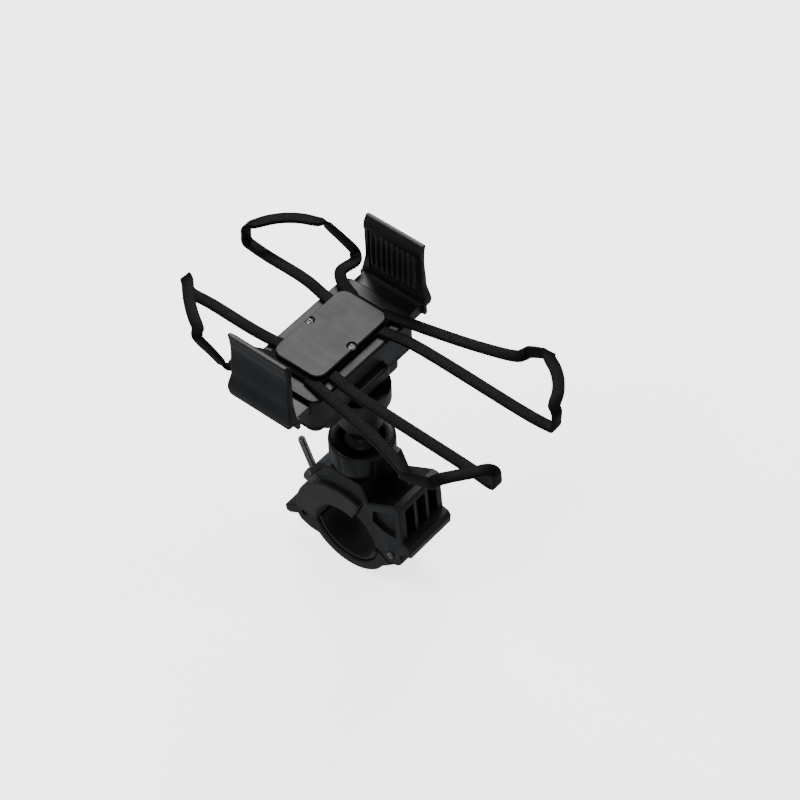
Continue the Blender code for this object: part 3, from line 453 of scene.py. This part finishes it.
def jaw(side, name, body):
    """Jaw wall with soft edges, joined to the CAD's tongue and rack."""
    levels = [WALL_FROM + 0.35 * i for i in range(1, 14)] + [FOOT_TO + 0.8 * i for i in range(32)]
    rings = [jaw_ring(side, WALL_FROM, EDGE_R)] + [jaw_ring(side, z, 0.0) for z in levels]
    for i in range(5):
        angle = math.radians(90.0 * i / 4)
        z = TOP - EDGE_R + EDGE_R * math.sin(angle)
        rings.append(jaw_ring(side, z, EDGE_R * (1 - math.cos(angle))))
    data = bmesh.new()
    skin(data, rings)
    wall = to_object(name, data)
    pad_low, pad_high = corners(f"{name}_pad")
    edge_x = max(abs(pad_low.x), abs(pad_high.x)) + PAD_ROOM
    low_x, high_x = sorted((side * 30.0, side * edge_x))
    pocket = box("pocket", (low_x, pad_low.y - PAD_ROOM, pad_low.z - PAD_ROOM),
                 (high_x, pad_high.y + PAD_ROOM, pad_high.z + PAD_ROOM))
    combine(wall, [pocket], "DIFFERENCE")
    arm = refined("arm", f"{name}_jaw", 0.01)
    arm.modifiers.clear()
    low_x, high_x = sorted((side * -60.0, side * 34.6))
    keep = box("keep", (low_x, -20.0, 70.0), (high_x, 50.0, TONGUE_TOP))
    combine(arm, [keep], "INTERSECT")
    combine(wall, [arm], "UNION")
    shade(wall, 40.0)
    bevelled(wall, 0.18, 50.0)
    wall.name = f"{name}_jaw_wall"
    return publish(wall, body, "plastic", PLASTIC_SMOOTH, f"{name}_jaw")


RIBS = 9
RIB_STEP = 2.4


def rib_rings(side, centre, low, high, base):
    """Rings of one upright rib that swells towards the phone."""
    rings = []
    steps = 18
    for i in range(steps + 1):
        t = i / steps
        z = low + (high - low) * t
        swell = math.sin(math.pi * t) ** 0.55
        height = 0.12 + 0.94 * swell
        width = 0.5 + 0.32 * swell
        ring = []
        for k in range(9):
            angle = math.pi * k / 8
            ring.append((side * (base - height * math.sin(angle)), centre + width * math.cos(angle), z))
        rings.append(ring)
    return rings


def jaw_pad(side, name, body):
    """Ribbed rubber pad: a backing sheet, bulging ribs and a bead at the head of each."""
    low, high = corners(f"{name}_pad")
    back = max(abs(low.x), abs(high.x))
    data = bmesh.new()
    middle_y, half_y = (low.y + high.y) / 2, (high.y - low.y) / 2
    middle_z, half_z = (low.z + high.z) / 2, (high.z - low.z) / 2
    sheet = []
    for x, inset in ((back, 0.1), (back - 0.05, 0.0), (PAD_FACE + 0.1, 0.0), (PAD_FACE, 0.1)):
        sheet.append([(side * x, middle_y + a, middle_z + b)
                      for a, b in round_rect(half_y - inset, half_z - inset, 0.8, 4)])
    skin(data, sheet)
    for i in range(RIBS):
        centre = middle_y + (i - (RIBS - 1) / 2) * RIB_STEP
        skin(data, rib_rings(side, centre, low.z + 0.5, high.z - 1.9, PAD_FACE + 0.03))
        bead = []
        for k in range(7):
            angle = math.pi * (k + 0.5) / 7
            radius = 0.6 * math.sin(angle)
            bead.append([(side * (PAD_FACE - 0.15 - 0.7 * math.cos(angle)), centre + radius * math.cos(turn),
                          high.z - 1.05 + radius * math.sin(turn))
                         for turn in [2 * math.pi * j / 10 for j in range(10)]])
        skin(data, bead)
    pad = to_object(f"{name}_ribbed_pad", data)
    shade(pad, 45.0)
    return publish(pad, body, "rubber", RUBBER, f"{name}_pad")


# ---------------------------------------------------------------- silicone band
# Each loop has its corner's signs, its x over the phone's end, its y over the side, the y of its
# leg under the side, and how far its middle bows towards the corner.
LOOPS = {
    "front_right": ((1, 1), 15.0, 43.0, 29.5, 2.6),
    "front_left": ((-1, 1), -15.6, 42.0, 30.5, 1.0),
    "rear_left": ((-1, -1), -17.6, -61.6, -49.5, 0.0),
    "rear_right": ((1, -1), 14.0, -56.5, -46.5, 2.4),
}
BODY_YC = 12.0
WEB_LO, WEB_HI = 86.1, 87.3
WEB_HALF_X, WEB_HALF_Y, WEB_R = 21.0, 11.8, 4.0
STRAP_W, STRAP_T, STRAP_R = 4.3, 1.5, 0.28
PHONE_GAP = 0.15


def loop_route(corner, top_x, side_y, leg_y, bow):
    """Route of a corner loop as (point, outward direction) pairs on its inner side."""
    sx, sy = corner
    end_y = EDGE_Y1 if sy > 0 else EDGE_Y0
    face, under = PHONE_FACE + PHONE_GAP, PHONE_BACK - PHONE_GAP
    mid = (PHONE_BACK + PHONE_FACE) / 2
    out_y, out_x = end_y + sy * PHONE_GAP, sx * (EDGE_X + PHONE_GAP)
    start = Vector((top_x + sx * 1.9, end_y - sy * 1.5, face))
    end = Vector((out_x - sx * 1.6, side_y + sy * 1.9, face))
    outward = (end - start).cross(Vector((0, 0, -sx * sy))).normalized()
    across = [start.lerp(end, t) + outward * bow * 4 * t * (1 - t) for t in (0.25, 0.5, 0.75)]
    route = [
        ((sx * 12.5, BODY_YC + sy * 8.5, WEB_HI), (0, 0, -1)),
        ((sx * 13.6, BODY_YC + sy * 15.0, 87.4), (0, 0, -1)),
        ((sx * 14.4 * 0.7 + top_x * 0.3, BODY_YC + sy * 24.0, 88.4), (0, 0, -1)),
        ((top_x - sx * 0.5, end_y - sy * 9.0, under), (0, 0, -1)),
        ((top_x, end_y - sy * 1.6, under), (0, sy * 0.2, -1)),
        ((top_x, end_y - sy * 0.25, under + 0.3), (0, sy * 0.75, -0.75)),
        ((top_x + sx * 0.1, out_y, under + 1.4), (0, sy, -0.12)),
        ((top_x + sx * 0.3, out_y, mid), (0, sy, 0)),
        ((top_x + sx * 0.5, out_y, face - 1.4), (0, sy, 0.12)),
        ((top_x + sx * 0.9, end_y - sy * 0.25, face - 0.3), (0, sy * 0.75, 0.75)),
        (start, (sx * 0.05, sy * 0.2, 1)),
        *((place, (0, 0, 1)) for place in across),
        (end, (sx * 0.2, sy * 0.05, 1)),
        ((out_x - sx * 0.25, side_y + sy * 0.8, face - 0.3), (sx * 0.75, 0, 0.75)),
        ((out_x, side_y - sy * 0.4, face - 1.4), (sx, 0, 0.12)),
        ((out_x, side_y * 0.5 + leg_y * 0.5, mid), (sx, 0, 0)),
        ((out_x, leg_y + sy * 1.4, under + 1.4), (sx, 0, -0.12)),
        ((out_x - sx * 0.25, leg_y + sy * 0.1, under + 0.3), (sx * 0.75, 0, -0.75)),
        ((out_x - sx * 1.7, leg_y - sy * 1.4, under), (sx * 0.2, 0, -1)),
    ]
    if sy > 0:
        bends = [(sx * 25.0, leg_y - 0.7, 88.8), (sx * 21.6, leg_y - 4.5, 88.2)]
    else:
        bends = [(sx * 27.0, BODY_YC + (leg_y - BODY_YC) * 0.72, 88.6)]
    return route + [(place, (0, 0, -1)) for place in bends + [(sx * 19.5, BODY_YC + sy * 6.5, WEB_HI)]]


def strap_rings(route):
    """Rounded-rectangle sections along a strap's route."""
    samples = 7
    points = spline([p for p, _ in route], samples)
    ups = spline([Vector(u).normalized() for _, u in route], samples)
    rings = []
    for i, (point, up) in enumerate(zip(points, ups)):
        before, after = points[max(i - 1, 0)], points[min(i + 1, len(points) - 1)]
        forward = (after - before).normalized()
        side = forward.cross(up).normalized()
        normal = side.cross(forward).normalized()
        ring = []
        for a, b in round_rect(STRAP_W / 2, STRAP_T / 2, STRAP_R, 3):
            ring.append(point + side * a + normal * (STRAP_T / 2 + b))
        rings.append(ring)
    return rings


def silicone_band():
    """The stretched band: a web under the front plate and a loop over each phone corner."""
    data = bmesh.new()
    web = []
    for z, inset in ((WEB_LO, 0.3), (WEB_LO + 0.1, 0.08), (WEB_LO + 0.3, 0.0), (WEB_HI - 0.3, 0.0),
                     (WEB_HI - 0.1, 0.08), (WEB_HI, 0.3)):
        outline = round_rect(WEB_HALF_X - inset, WEB_HALF_Y - inset, WEB_R, 6)
        web.append([(a, BODY_YC + b, z) for a, b in outline])
    skin(data, web)
    for loop in LOOPS.values():
        skin(data, strap_rings(loop_route(*loop)))
    band = to_object("band_web_and_loops", data)
    shade(band, 60.0)
    return publish(band, "cradle", "silicone", SILICONE, "silicone_band")


# ---------------------------------------------------------------- clamp hardware
def bolt_place(height=0.0):
    """Placement on the swing bolt's axis, height up from its pivot."""
    lean = Matrix.Rotation(math.radians(-BOLT_LEAN), 4, "X")
    return Matrix.Translation(bolt_pivot()) @ lean @ moved(z=height)


THREAD_PITCH = 0.5
BOLT_R = 1.45
BOLT_LEN = 27.1
THREAD_FROM = 5.4
PIN_R = 1.35
EYE_R, EYE_HALF = 2.9, 2.7


def thread(name, radius, depth, low, high, pitch, place):
    """Screw thread as one helical skin, held flat at its ends."""
    per_turn = 20
    data = bmesh.new()
    section = [(0.0, -0.5), (0.12, -0.42), (1.0, -0.06), (1.0, 0.06), (0.12, 0.42)]
    turns = int((high - low) / pitch)
    steps = turns * per_turn
    rows = []
    for i in range(steps + 1):
        angle = 2 * math.pi * i / per_turn
        row = []
        for lift, along in section:
            r = radius - depth + depth * lift
            z = low + pitch * (i / per_turn + along)
            row.append(data.verts.new((r * math.cos(angle), r * math.sin(angle), min(max(z, low), high))))
        rows.append(row)
    for first, second in zip(rows, rows[1:]):
        for k in range(len(section) - 1):
            data.faces.new((first[k], second[k], second[k + 1], first[k + 1]))
    return to_object(name, data, place)


def swing_bolt():
    """Eye bolt with a rolled thread."""
    core = [(0.0, BOLT_LEN), (0.95, BOLT_LEN), (1.2, BOLT_LEN - 0.35), (1.2, THREAD_FROM),
            (BOLT_R, THREAD_FROM - 0.4), (BOLT_R, 1.2), (0.0, 1.2)]
    shank = turned("shank", core, 32, bolt_place())
    eye = [(PIN_R, -EYE_HALF), (EYE_R - 0.3, -EYE_HALF), (EYE_R, 0.3 - EYE_HALF),
           (EYE_R, EYE_HALF - 0.3), (EYE_R - 0.3, EYE_HALF), (PIN_R, EYE_HALF)]
    place = Matrix.Translation(bolt_pivot()) @ Matrix.Rotation(math.radians(90), 4, "Y")
    ring = turned("eye", eye, 40, place, ring=True)
    bore = turned("bore", [(0.0, 6.0), (PIN_R, 6.0), (PIN_R, -6.0), (0.0, -6.0)], 40, place)
    combine(shank, [ring], "UNION")
    combine(shank, [bore], "DIFFERENCE")
    shade(shank, 35.0)
    shank.name = "swing_bolt_shank"
    publish(shank, "bolt", "black_steel", BLACK_STEEL, "swing_bolt")
    helix = thread("swing_bolt_thread", BOLT_R, 0.27, THREAD_FROM, BOLT_LEN - 0.4, THREAD_PITCH, bolt_place())
    shade(helix, 80.0)
    publish(helix, "bolt", "black_steel", BLACK_STEEL)


def tension_nut():
    """Collared nut with a wide thin flange, its rim finely knurled."""
    inner = BOLT_R + 0.08
    profile = [(2.55, 2.4), (2.7, 2.28), (2.72, 2.08), (2.85, 1.98), (4.55, 1.94), (4.72, 1.86), (4.8, 1.7),
               (4.8, 1.3), (4.7, 1.14), (4.05, 1.06), (3.9, 0.92), (3.9, 0.35), (3.6, 0.0),
               (inner + 0.2, 0.0), (inner, 0.2), (inner, 2.2), (inner + 0.2, 2.4)]
    knurl_from = 4.6
    data = bmesh.new()
    segments = 96
    rows = []
    for i in range(segments):
        angle = 2 * math.pi * i / segments
        knurl = 0.11 if i % 3 == 0 else 0.0
        row = []
        for r, z in profile:
            radius = r - knurl if r > knurl_from else r
            row.append(data.verts.new((radius * math.cos(angle), radius * math.sin(angle), z)))
        rows.append(row)
    wheel(data, rows)
    nut = to_object("tension_nut_knurled", data, bolt_place(NUT_AT))
    shade(nut, 30.0)
    return publish(nut, "nut", "black_steel", BLACK_STEEL, "tension_nut")


def bolt_washer():
    """Thin washer with rounded rims."""
    inner = BOLT_R + 0.1
    profile = [(4.0, 0.4), (3.88, 0.5), (inner + 0.12, 0.5), (inner, 0.4), (inner, 0.1), (inner + 0.12, 0.0),
               (3.88, 0.0), (4.0, 0.1)]
    washer = turned("bolt_washer_disc", profile, 48, bolt_place(WASHER_AT), ring=True)
    shade(washer, 50.0)
    return publish(washer, "washer", "black_steel", BLACK_STEEL, "bolt_washer")


# ---------------------------------------------------------------- locking ring and stud
RING_LO, RING_HI, RING_R = 32.0, 43.6, 12.3
RING_LIP, MOUTH_R = 42.0, 8.0
TOWER_R = 10.6


def ring_nut():
    """Locking ring with soft finger flutes."""
    bore = TOWER_R + 0.35
    profile = [(MOUTH_R, RING_HI - 0.9), (MOUTH_R + 0.5, RING_HI - 0.15), (9.3, RING_HI), (11.2, RING_HI),
               (11.9, RING_HI - 0.25), (12.2, RING_HI - 0.8), (RING_R, RING_HI - 1.7),
               (RING_R, RING_LO + 3.0), (12.1, RING_LO + 1.6), (11.6, RING_LO + 0.4), (11.3, RING_LO),
               (bore, RING_LO), (bore, RING_LIP), (MOUTH_R, RING_LIP)]
    flutes, flute_depth, flute_from = 12, 0.62, 11.55
    segments = 144
    data = bmesh.new()
    rows = []
    for i in range(segments):
        angle = 2 * math.pi * i / segments
        wave = max(math.cos(flutes * angle), 0.0) ** 3
        row = []
        for r, z in profile:
            depth = 0.0
            if r > flute_from:
                fade = min((z - RING_LO - 1.2) / 1.6, (RING_HI - 0.9 - z) / 1.4)
                depth = flute_depth * wave * min(max(fade, 0.0), 1.0)
            row.append(data.verts.new(((r - depth) * math.cos(angle), (r - depth) * math.sin(angle), z)))
        rows.append(row)
    wheel(data, rows)
    ring = to_object("locking_ring", data)
    shade(ring, 42.0)
    return publish(ring, "locking_ring", "plastic", PLASTIC_SMOOTH, "ring_nut")


def ball_stud():
    """Ball and neck, turned smooth."""
    high = corners("ball_stud")[1]
    ball_r, neck_r = 8.5, 4.2
    stem_r, collar_r = 3.9, 5.6
    profile = [(0.0, high.z), (stem_r - 0.3, high.z), (stem_r, high.z - 0.3), (stem_r, 58.4),
               (collar_r, 58.0), (collar_r, 53.2), (4.6, 52.5), (neck_r, 51.9)]
    start = math.degrees(math.acos(neck_r / ball_r))
    profile.append((neck_r, BALL_Z + ball_r * math.sin(math.radians(start)) + 0.5))
    for i in range(25):
        angle = math.radians(start - 3.0 + (-87.0 - start) * i / 24)
        profile.append((max(ball_r * math.cos(angle), 0.02), BALL_Z + ball_r * math.sin(angle)))
    profile.append((0.0, BALL_Z - ball_r))
    stud = turned("ball_and_neck", profile, 64)
    shade(stud, 50.0)
    return publish(stud, "stud", "plastic", PLASTIC_SMOOTH, "ball_stud")


# ---------------------------------------------------------------- small fasteners
def cross_screw(name, node, body, head_up, radius, thick):
    """Pan head with a cross recess on the CAD screw's place."""
    low, high = corners(node)
    x, y = (low.x + high.x) / 2, (low.y + high.y) / 2
    sign = 1 if head_up else -1
    top = high.z if head_up else low.z
    profile = [(0.0, top), (radius * 0.55, top - sign * 0.06), (radius * 0.86, top - sign * 0.3),
               (radius, top - sign * 0.65), (radius, top - sign * thick), (0.95, top - sign * (thick + 0.02)),
               (0.95, top - sign * 3.6), (0.0, top - sign * 3.8)]
    screw = turned(name, profile, 36, moved(x, y))
    slots = []
    for wide, tall in ((radius * 0.6, 0.24), (0.24, radius * 0.6)):
        a, b = sorted((top + sign * 1.0, top - sign * 0.75))
        slots.append(box("slot", (x - wide, y - tall, a), (x + wide, y + tall, b)))
    combine(screw, slots, "DIFFERENCE")
    shade(screw, 35.0)
    return publish(screw, body, "black_steel", BLACK_STEEL, node)


# ---------------------------------------------------------------- front plate
def front_plate():
    """Retainer plate with softened edges."""
    plate = refined("front_plate_frame", "front_plate", 0.12)
    return publish(plate, "cradle", "plastic", PLASTIC, "front_plate")


# ---------------------------------------------------------------- assembly
FINE = {
    "clamp_upper": ("clamp", "plastic", PLASTIC, 0.35),
    "clamp_lower": ("lower_arm", "plastic", PLASTIC, 0.35),
    "shim_upper": ("clamp", "shim_rubber", SHIM, 0.3),
    "shim_lower": ("lower_arm", "shim_rubber", SHIM, 0.2),
    "cradle_housing": ("cradle", "plastic", PLASTIC, 0.3),
    "back_cover": ("cradle", "plastic", PLASTIC, 0.3),
    "release_button": ("button", "plastic", PLASTIC_SMOOTH, 0.25),
    "hinge_pin": ("clamp", "black_steel", BLACK_STEEL, 0.1),
    "bolt_pivot_pin": ("lower_arm", "black_steel", BLACK_STEEL, 0.1),
}
PLAIN = {
    "ball_seat": RUBBER,
    "stud_screw": STEEL,
    "gear_pin": STEEL,
    "left_spring": STEEL,
    "right_spring": STEEL,
    "button_spring": STEEL,
    "drive_gear": ACETAL,
}

for node_name, (body_name, slot_name, look, edge_width) in FINE.items():
    piece = refined(f"{node_name}_skin", node_name, edge_width)
    publish(piece, body_name, slot_name, look, node_name)
for node_name, look in PLAIN.items():
    node_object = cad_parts[node_name]
    node_object.data.materials.clear()
    node_object.data.materials.append(look)
    node_object.data.shade_smooth()
    node_object.data.set_sharp_from_angle(angle=math.radians(35))

for sign_x, word in ((-1, "left"), (1, "right")):
    jaw(sign_x, word, f"{word}_grip")
    jaw_pad(sign_x, word, f"{word}_grip")
silicone_band()
swing_bolt()
tension_nut()
bolt_washer()
ring_nut()
ball_stud()
front_plate()
for number in range(1, 5):
    cross_screw(f"cover_screw_{number}_head", f"cover_screw_{number}", "cradle", False, 2.2, 1.6)
for number in range(1, 3):
    cross_screw(f"plate_screw_{number}_head", f"plate_screw_{number}", "cradle", True, 1.6, 0.7)


# ---------------------------------------------------------------- camera, floor and light
CAMERA_AT = Vector((-0.50786, -0.46917, 0.85598))
CAMERA_LOOK = Vector((0.031957, 0.009595, 0.026330))
CAMERA_ROLL = -2.37
CAMERA_LENS = 135.0


def add_camera():
    """Long lens behind the mount and to its left, looking down at about 49 degrees."""
    data = bpy.data.cameras.new("camera")
    data.lens = CAMERA_LENS
    data.sensor_width = 36.0
    data.clip_end = 20.0
    camera = in_scene("camera", data)
    forward = (CAMERA_LOOK - CAMERA_AT).normalized()
    level = forward.to_track_quat("-Z", "Y").to_matrix().to_4x4()
    roll = Matrix.Rotation(math.radians(CAMERA_ROLL), 4, "Z")
    camera.matrix_world = Matrix.Translation(CAMERA_AT) @ level @ roll
    bpy.context.scene.camera = camera


def add_light(name, place, target, size, power, tint=(1.0, 1.0, 1.0)):
    """Square softbox aimed at a point."""
    data = bpy.data.lights.new(name, "AREA")
    data.shape = "SQUARE"
    data.size = size
    data.energy = power
    data.color = tint
    light = in_scene(name, data)
    light.location = place
    light.rotation_euler = (Vector(target) - Vector(place)).to_track_quat("-Z", "Y").to_euler()


def add_floor():
    """Pale studio floor just under the mount."""
    data = bmesh.new()
    bmesh.ops.create_grid(data, x_segments=1, y_segments=1, size=3000.0)
    floor = to_object("floor", data)
    floor.location.z = CAD_BOX[0][2] - 0.0006
    material, tree, shader, coords = shader_tree("pale_floor")
    shade_map = noise(tree, coords, 3.0, 2.0)
    tree.links.new(ramp(tree, shade_map, [(0.3, grey(0.86)), (0.7, grey(0.90))]), shader.inputs["Base Color"])
    shader.inputs["Roughness"].default_value = 0.8
    shader.inputs["Specular IOR Level"].default_value = 0.1
    shader.inputs["Emission Color"].default_value = (1.0, 1.0, 1.0, 1.0)
    shader.inputs["Emission Strength"].default_value = 2.4
    floor.data.materials.append(material)
    floor.visible_glossy = False


def add_world():
    """Even sky light."""
    world = bpy.data.worlds.new("studio")
    world.use_nodes = True
    background = world.node_tree.nodes["Background"]
    background.inputs["Color"].default_value = (0.90, 0.94, 1.0, 1.0)
    background.inputs["Strength"].default_value = 0.42
    bpy.context.scene.world = world


add_camera()
add_floor()
add_world()
add_light("key", (0.62, 0.55, 0.95), (0, 0, 0.06), 0.5, 12.0, (1.0, 0.99, 0.97))
add_light("side", (-0.5, 0.5, 1.0), (0, 0, 0.06), 0.5, 12.0, (0.95, 0.97, 1.0))
add_light("fill", (-0.9, -0.5, 0.35), (0, 0, 0.03), 0.6, 1.5)
add_light("rear", (0.55, -0.45, 0.9), (0, -0.01, 0.03), 0.4, 2.5)
